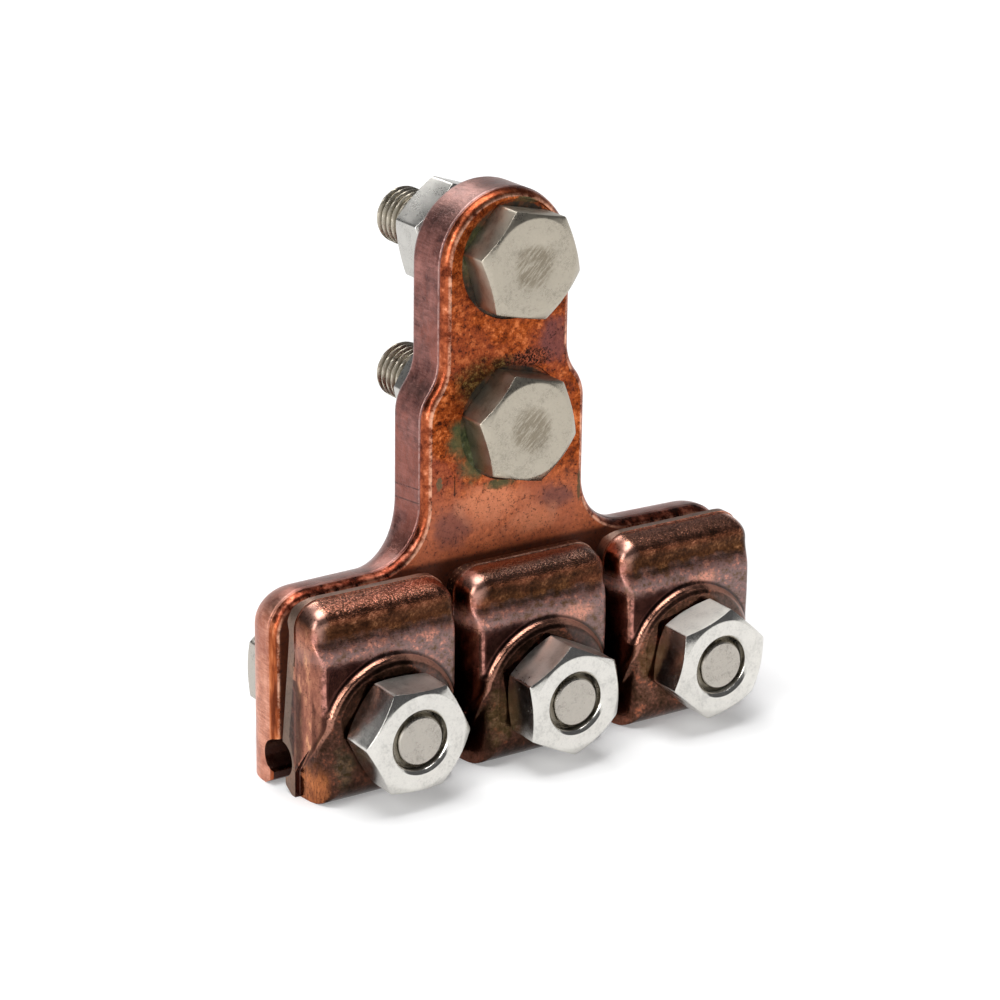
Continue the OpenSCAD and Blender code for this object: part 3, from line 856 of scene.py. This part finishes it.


# What differs from jaw to jaw, from left to right: strengths, spots and colours of its film and wear, and of
# its painted highlights and shade
JAW_LOOKS = (
    {"flecks": 0.75, "crest_low": 0.2, "crest": (0.82, 0.38, 0.26), "olive": 0.9, "peel": 0.50,
     "hot": (7.2, 20.2, 1.6, 2.0), "hot_low": 0.1, "skirt": 0.95, "hue": (-9.6, 7.0, 1.8, 3.6),
     "tint": (0.080, 0.066, 0.046), "rub": 0.8, "rubbed": (0.66, 0.225, 0.080)},
    {"flecks": 0.65, "crest_low": 0.35, "crest": (0.60, 0.36, 0.27), "olive": 0.7, "peel": 0.45,
     "hot": (5.8, 23.4, 3.8, 1.8), "hot_low": 0.5, "skirt": 0.9, "hue": (-9.6, 9.0, 2.6, 4.4),
     "tint": (0.088, 0.060, 0.022), "rub": 0.35, "rubbed": (0.40, 0.160, 0.110)},
    {"flecks": 0.5, "crest_low": 0.35, "crest": (0.90, 0.44, 0.30), "olive": 0.95, "peel": 0.32,
     "hot": (3.0, 24.4, 3.0, 1.2), "hot_low": 0.2, "skirt": 2.1, "hue": (-9.8, 13.0, 1.6, 4.0),
     "tint": (0.120, 0.056, 0.018), "rub": 0.5, "rubbed": (0.40, 0.150, 0.100)},
)


def jaw_roll(t, color, look):
    """Roll: dark grains and painted glints on its top, a painted highlight along its crest and at its left
    end, olive brown patina below with painted shade.
    """
    top = t.times(t.smooth(t.z, 31.0, 32.4), t.calm)
    color = t.coat(color, (0.030, 0.010, 0.006), top, t.smooth(t.fleck, 0.47, 0.38, 0.0, 0.6))
    # painted glints: bright flecks on the roll's top
    color = t.coat(color, (0.92, 0.50, 0.36), top, t.smooth(t.fleck, 0.55, 0.64, 0.0, look["flecks"]))
    # painted highlight: a paler crest along the top of the roll
    crest = t.smooth(t.fleck, 0.40, 0.60, look["crest_low"], 0.95)
    color = t.coat(color, look["crest"], t.smooth(t.z, 30.8, 33.0), crest)
    # painted highlight at the roll's left end
    color = t.coat(color, (0.62, 0.33, 0.26), t.gleam)
    # olive brown patina under the roll, darkened as painted shade
    brown = t.ramp(t.tone, (0.38, (0.018, 0.007, 0.003)), (0.50, (0.050, 0.020, 0.008)),
                   (0.58, (0.105, 0.044, 0.017)), (0.68, (0.340, 0.150, 0.066)))
    ragged = t.plus(t.wavy, t.swing(t.fleck, 2.4))
    olive = t.times(t.smooth(ragged, 33.6, 29.6), t.smooth(t.wavy, 25.6, 27.6),
                    t.smooth(t.across, -13.0, -10.5, 0.3, 1.0))
    return t.coat(color, brown, olive, t.smooth(t.big, 0.40, 0.60, 0.97, look["olive"]))


def jaw_waist(t, color, look):
    """Waist: grey film of purple and blue, running down at the right, a painted dark reflection on the face
    below it, and a painted highlight down the left corner.
    """
    over_end = t.minus(t.wavy, t.smooth(t.across, 1.0, 8.5, 24.3, 15.5))
    t.waist = t.times(t.smooth(t.wavy, 28.2, 25.4), t.smooth(over_end, -1.2, 1.0))
    film = t.ramp(t.blend(t.big, 0.2, t.flake), (0.37, (0.13, 0.070, 0.028)), (0.44, (0.24, 0.140, 0.105)),
                  (0.50, (0.300, 0.200, 0.195)), (0.55, (0.42, 0.200, 0.165)), (0.62, (0.95, 0.43, 0.31)))
    color = t.coat(color, film, t.waist, 0.92)
    # painted dark reflection on the face between the waist and the seat
    dark = t.mix(t.mid, (0.014, 0.006, 0.006), (0.060, 0.024, 0.022))
    color = t.coat(color, dark, t.smooth(over_end, 1.2, -0.6), t.smooth(t.z, 25.0, 24.0), 0.92)
    hot = t.spot(*look["hot"], t.mid)
    color = t.coat(color, (0.92, 0.40, 0.28), hot, t.smooth(t.fine, 0.40, 0.56, look["hot_low"], 0.9))
    # painted highlight down the block's rounded left corner
    corner = t.times(t.band(t.nx, -0.93, -0.72, -0.45, -0.22), t.smooth(t.z, 30.5, 28.5),
                     t.smooth(t.out, 0.2, 0.8))
    wear_and_highlight = t.mix(t.fine, (0.30, 0.085, 0.060), (0.95, 0.46, 0.37))
    return t.coat(color, wear_and_highlight, corner, t.smooth(t.flake, 0.40, 0.56, 0.25, 0.85))


def jaw_skirt(t, color, look):
    """Skirt: dark, thinly coloured, orange on its lower left where it faces left, and a paler bead at its
    edge with a painted highlight.
    """
    skirt = t.smooth(t.out, 0.02, -0.14)
    stops = ((0.36, (0.014, 0.008, 0.004)), (0.46, (0.042, 0.020, 0.012)), (0.54, (0.072, 0.034, 0.024)),
             (0.64, (0.22, 0.070, 0.036)))
    dark = t.ramp(t.tone, *[(at, tuple(look["skirt"] * c for c in stop)) for at, stop in stops])
    color = t.coat(color, dark, skirt, 0.92)
    film = t.ramp(t.flake, (0.40, (0.040, 0.030, 0.008)), (0.50, look["tint"]),
                  (0.60, (0.210, 0.130, 0.070)))
    color = t.coat(color, film, skirt, t.spot(*look["hue"], t.mid), 0.5)
    grain = t.noise(t.scaled(t.q, (1.2, 1.0, 0.3)), 1.6, 5.0, 0.7)
    rubbed = t.mix(t.smooth(grain, 0.28, 0.70), (0.200, 0.058, 0.026), look["rubbed"])
    rub = t.times(t.smooth(t.nx, -0.72, -1.0), t.smooth(t.plus(t.z, t.times(t.mid, 4.0)), 9.8, 5.0))
    color = t.coat(color, rubbed, rub, look["rub"])
    inner = t.minus(t.out, t.smooth(t.z, 10.0, 17.0, -0.20, -0.90))
    # the bead's paler copper, with a painted highlight along it
    bead = t.times(t.smooth(t.out, 0.10, -0.02), t.smooth(inner, -0.08, 0.22), t.smooth(t.z, 5.0, 6.6),
                   t.smooth(t.size(t.nx), 0.98, 0.88))
    return t.coat(color, t.mix(t.tone, (0.10, 0.036, 0.018), (0.66, 0.32, 0.23)), bead, 0.8)


def jaw_sides(t, color, k):
    """Sides: streaked up and down and darker at the top of the roll's ends, with painted light on the sides
    facing out, painted shade on the sides facing the gaps between jaws, and a painted shadow line outside
    the bead and on faces turned down.
    """
    side = t.times(t.smooth(t.size(t.nx), 0.60, 0.93), t.smooth(t.out, -0.05, 0.10), t.smooth(t.z, 4.6, 6.4))
    # painted light on the sides facing out, painted shade on the sides facing the gaps between jaws
    side = t.times(side, t.smooth(t.times(t.nx, float(k)), -0.3, 0.3, 0.15, 1.0))
    color = t.coat(color, (0.060, 0.028, 0.016), side, t.smooth(t.z, 27.5, 30.0, 0.0, 0.65))
    streak = t.noise(t.scaled(t.q, (1.0, 1.0, 0.34)), 0.7, 6.0, 0.66)
    streaked = t.ramp(streak, (0.34, (0.19, 0.074, 0.054)), (0.48, (0.35, 0.135, 0.090)),
                      (0.56, (0.45, 0.190, 0.120)), (0.66, (0.74, 0.360, 0.200)))
    color = t.coat(color, streaked, side, t.smooth(t.z, 31.0, 27.0, 0.0, 0.85))
    # painted shadow line outside the bead and on faces turned down
    under = t.times(t.smooth(t.nz, -0.15, -0.40), t.band(t.z, 5.0, 6.0, 13.0, 15.0),
                    t.smooth(t.out, -0.25, 0.0))
    line = t.most(t.band(t.out, -0.02, 0.10, 0.22, 0.70), under)
    return t.coat(color, (0.018, 0.008, 0.006), line, 0.8)


def jaw_rim(t, color, k):
    """Trimmed rim: dull grey brown, nearly black on the middle jaw with sparse painted glints."""
    drop = t.math("MINIMUM", t.times(t.minus(t.z, 4.3), 0.33), t.times(t.minus(24.3, t.z), 0.136))
    behind = t.minus(t.plus(t.y, t.times(t.fine, 0.5)), t.most(drop, 0.0))
    t.rim = t.times(t.smooth(behind, -12.40, -11.90), t.smooth(t.size(t.ny), 0.75, 0.4))
    if k == 0:
        # sparse painted glints on the middle jaw's nearly black rim
        dull = t.ramp(t.fine, (0.44, (0.018, 0.010, 0.006)), (0.56, (0.055, 0.032, 0.020)),
                      (0.68, (0.46, 0.300, 0.180)))
    else:
        dull = t.mix(t.mid, (0.085, 0.056, 0.040), (0.29, 0.200, 0.150))
    return t.coat(color, dull, t.rim, 0.85)


def jaw_copper(k):
    t = material(f"jaw_copper_{k + 2}")
    look = JAW_LOOKS[k + 1]
    t.across = t.minus(t.x, PITCH * k)
    t.out = t.node("Attribute", attribute_name="seam").outputs["Fac"]
    t.q = t.shifted(t.p, (13.0 * k, 29.0 * k, 5.0 * k))
    t.big = t.noise(t.q, 0.10, 3.0, 0.55)
    t.mid = t.noise(t.shifted(t.q, (3.0, 17.0, 9.0)), 0.42, 5.0, 0.6)
    t.fine = t.noise(t.shifted(t.q, (8.0, 1.0, 21.0)), 1.8, 5.0, 0.66)
    t.fleck = t.noise(t.scaled(t.shifted(t.q, (41.0, 3.0, 15.0)), (0.7, 1.0, 1.2)), 4.2, 2.0, 0.6)
    t.flake = t.noise(t.scaled(t.shifted(t.q, (14.0, 6.0, 2.0)), (0.8, 1.0, 1.0)), 0.75, 6.0, 0.72)
    grit = t.noise(t.shifted(t.q, (2.0, 6.0, 4.0)), 3.0, 3.0, 0.6)
    t.tone = t.blend(t.mid, 0.5, t.fine)
    t.wavy = t.plus(t.z, t.swing(t.mid, 3.0))
    t.calm = t.smooth(t.across, -11.8, -8.6, 0.15, 1.0)
    t.gleam = t.spot(-11.8, 31.0, 1.5, 2.6, t.mid)
    color = t.ramp(t.tone, (0.36, (0.070, 0.020, 0.010)), (0.46, (0.220, 0.062, 0.032)),
                   (0.56, (0.390, 0.128, 0.072)), (0.66, (0.660, 0.270, 0.170)))
    color = jaw_roll(t, color, look)
    color = jaw_waist(t, color, look)
    color = jaw_skirt(t, color, look)
    color = jaw_sides(t, color, k)
    color = jaw_rim(t, color, k)
    color = t.coat(color, (0.022, 0.010, 0.007), t.smooth(grit, 0.42, 0.35), 0.6)
    rough = t.plus(0.10, t.times(t.mid, 0.16), t.times(t.rim, 0.22), t.times(t.waist, 0.18),
                   t.times(t.gleam, 0.14))
    metal = t.minus(1.0, t.times(t.waist, 0.7))
    peel = t.times(t.smooth(t.z, 27.0, 31.0, 0.10, look["peel"]), t.calm)
    hammered = t.bump(t.plus(t.times(t.mid, 0.5), t.times(t.plus(t.fine, t.fleck), peel)), 0.7, HAMMERED)
    gritty = t.bump(t.times(grit, t.plus(0.4, peel)), 0.40, GRITTY, hammered)
    return t.finish(color, metal, rough, gritty)


def bolt_wear(t, on_tab, color, height):
    """Dirty thread roots and a rubbed, rough middle of the head, by the radius from the bolt's axis."""
    if on_tab:
        r = t.length(t.x, t.minus(t.size(t.minus(t.z, HEADS_MID)), HEADS_HALF))
        shank = t.smooth(t.y, -6.9, -6.6)
        end = t.smooth(t.y, 27.7, 27.9)
    else:
        r = t.length(t.math("WRAP", t.x, PITCH / 2, -PITCH / 2), t.minus(t.z, FOOT))
        shank = t.smooth(t.y, 7.3, 7.0)
        end = t.smooth(t.y, -27.3, -27.5)
    root = t.times(t.smooth(r, 4.95, 4.30), shank, t.minus(1.0, end))
    color = t.coat(color, t.mix(t.mid, (0.060, 0.048, 0.028), (0.17, 0.145, 0.095)), root, 0.85)
    wear_and_highlight = t.times(t.smooth(t.plus(r, t.times(t.mid, 3.0)), 6.2, 4.0), t.minus(1.0, shank))
    slanted = t.node("CombineXYZ", t.times(t.plus(t.x, t.z), 0.22), t.y, t.times(t.minus(t.x, t.z), 1.3))
    rubbed = t.noise(slanted.outputs[0], 1.3, 5.0, 0.7)
    color = t.coat(color, (0.20, 0.165, 0.115), wear_and_highlight, t.smooth(rubbed, 0.44, 0.62, 0.75, 0.1))
    return color, t.plus(height, t.times(wear_and_highlight, rubbed, 1.6))


def steel(name, tint, rough, lines, dirt, flats, grain, bolt=None, lift=0.0):
    """Stainless steel. Flats are duller by flats, those facing up by lift more, and bolt is tab or jaw."""
    t = material(name)
    t.mid = t.noise(t.p, 0.35, 4.0, 0.6)
    t.fine = t.noise(t.shifted(t.p, (4.0, 9.0, 1.0)), 2.4, 5.0, 0.65)
    brushed = t.noise(t.scaled(t.p, (1.0, 0.08, 1.0)), 5.0, 3.0, 0.7)
    shades = ((0.32, 0.74 - 0.3 * dirt), (0.50, 0.96), (0.68, 1.05))
    stops = [(at, tuple(c * share for c in tint)) for at, share in shades]
    color = t.ramp(t.blend(t.mid, 0.5, t.fine), *stops)
    color = t.coat(color, (0.16, 0.115, 0.065), t.smooth(t.fine, 0.60, 0.72), dirt)
    height = t.plus(t.fine, t.times(t.mid, 0.6))
    on_side = t.smooth(t.size(t.ny), 0.35, 0.1)
    duller = t.times(on_side, t.smooth(t.nz, 0.55, 0.95, flats, flats + lift))
    roughness = t.plus(t.smooth(t.blend(t.mid, 0.6, t.fine), 0.35, 0.68, *rough), duller)
    if bolt is not None:
        color, height = bolt_wear(t, bolt == "tab", color, height)
    scratched = t.bump(height, grain, BRUSHED, t.bump(brushed, lines, BRUSHED))
    return t.finish(color, 1.0, roughness, scratched)


# Pieces


dress(body_mesh(), "frame", "body", body_copper())
for k, side in ((-1, "left"), (0, "middle"), (1, "right")):
    dress(jaw_mesh(f"jaw_{side}_skin", k), f"{side}_jaw", f"jaw_{side}", jaw_copper(k))

polished = [steel(f"stainless_nut_{i}", (0.71, 0.69, 0.645), (0.10, 0.20), lines=0.10, dirt=0.10, flats=0.08,
                  grain=0.14, lift=lift)
            for i, lift in ((1, 0.17), (2, 0.12), (3, 0.40))]
satin = steel("stainless_head", (0.48, 0.432, 0.352), (0.24, 0.36), lines=0.35, dirt=0.35, flats=0.12,
              grain=0.25, bolt="tab")
pale = steel("stainless_rear_nut", (0.53, 0.515, 0.48), (0.18, 0.26), lines=0.10, dirt=0.08, flats=0.08,
             grain=0.08)
dull = steel("stainless_shank", (0.48, 0.445, 0.395), (0.24, 0.38), lines=0.20, dirt=0.45, flats=0.0,
             grain=0.25, bolt="jaw")
for k, side, bolt_turn, nut_turn in ((-1, "left", 30, 2), (0, "middle", 40, 26), (1, "right", 25, 42)):
    bolt = fastener(f"jaw_bolt_{side}_skin", bolt_shape(bolt_turn), (k * PITCH, HEAD_Y, 0), mirrored=True)
    dress(bolt, "frame", f"jaw_bolt_{side}", dull)
    nut = fastener(f"jaw_nut_{side}_skin", nut_shape(nut_turn), (k * PITCH, RIM_Y - SEAT_F - NUT_H, 0))
    dress(nut, f"{side}_nut", f"jaw_nut_{side}", polished[k + 1])
for z, level, bolt_turn, nut_turn in ((UPPER_Z, "upper", 12, 18), (LOW_Z, "lower", 14, 10)):
    bolt = fastener(f"tab_bolt_{level}_skin", bolt_shape(bolt_turn), (0, HEAD_SEAT_D, z))
    dress(bolt, f"{level}_bolt", f"tab_bolt_{level}", satin)
    nut = fastener(f"tab_nut_{level}_skin", nut_shape(nut_turn), (0, TAB_NUT_Y, z))
    dress(nut, f"{level}_nut", f"tab_nut_{level}", pale)


# Stage: white floor that keeps the shadow, soft studio lights, camera. Lengths here are in metres.


def floor():
    half = 4
    corners = [(-half, -half, 0), (half, -half, 0), (half, half, 0), (-half, half, 0)]
    mesh = bpy.data.meshes.new("floor")
    mesh.from_pydata(corners, [], [[0, 1, 2, 3]])
    obj = bpy.data.objects.new("floor", mesh)
    bpy.context.scene.collection.objects.link(obj)
    t = Tree(bpy.data.materials.new("floor"))
    t.place()
    glow = t.times(t.seen(), t.smooth(t.length(t.x, t.y), 150.0, 2200.0, 0.26, 1.0))
    diffuse = t.node("BsdfDiffuse", (0.80, 0.80, 0.80))
    white = t.node("Emission", (1.0, 1.0, 1.0), glow)
    both = t.node("AddShader", diffuse.outputs[0], white.outputs[0])
    t.put(t.output.inputs[0], both.outputs[0])
    mesh.materials.append(t.owner)


def world():
    """Grey room, with the white of the floor carried up to just over the horizon."""
    t = Tree(bpy.data.worlds.new("studio"), "OutputWorld")
    bpy.context.scene.world = t.owner
    up = t.node("SeparateXYZ", t.node("TexCoord").outputs["Generated"]).outputs[2]
    low = t.times(t.seen(), t.smooth(up, 0.26, 0.17))
    room = t.node("Background", (0.11, 0.11, 0.115))
    white = t.node("Background", (1.0, 1.0, 1.0))
    shown = t.node("MixShader", low, room.outputs[0], white.outputs[0])
    t.put(t.output.inputs[0], shown.outputs[0])


def softbox(name, place, target, size_x, size_y, power):
    data = bpy.data.lights.new(name, "AREA")
    data.shape = "RECTANGLE"
    data.size = size_x
    data.size_y = size_y
    data.energy = power
    obj = bpy.data.objects.new(name, data)
    obj.location = place
    obj.rotation_mode = "QUATERNION"
    obj.rotation_quaternion = (Vector(target) - Vector(place)).to_track_quat("-Z", "Y")
    bpy.context.scene.collection.objects.link(obj)


def camera():
    """Camera fitted to the photograph: where it looks, from how far and which way, and its small roll."""
    aim = Vector((-0.00110, -0.0060, 0.04113))
    distance = 0.515567
    back = Vector((-0.52579, -0.78306, 0.33220)).normalized()
    right = Vector((0.83021, -0.55744, 0.0)).normalized()
    roll = math.radians(0.851)
    data = bpy.data.cameras.new("camera")
    data.lens = 111.80
    data.sensor_width = 36.0
    data.clip_start = 0.01
    data.clip_end = 20
    up = back.cross(right)
    x_axis = right * math.cos(roll) + up * math.sin(roll)
    y_axis = up * math.cos(roll) - right * math.sin(roll)
    obj = bpy.data.objects.new("camera", data)
    m = Matrix((x_axis, y_axis, back)).transposed().to_4x4()
    m.translation = aim + back * distance
    obj.matrix_world = m
    bpy.context.scene.collection.objects.link(obj)
    bpy.context.scene.camera = obj


floor()
world()
target = (0, 0, 0.035)
softbox("top", (-0.15, -0.02, 1.60), target, 1.05, 1.05, 22.0)
softbox("left", (-0.80, -0.36, 0.42), target, 0.28, 0.72, 4.2)
softbox("back", (0.08, 0.80, 0.68), target, 0.42, 0.36, 2.2)
camera()
bpy.context.scene.view_settings.view_transform = "Standard"
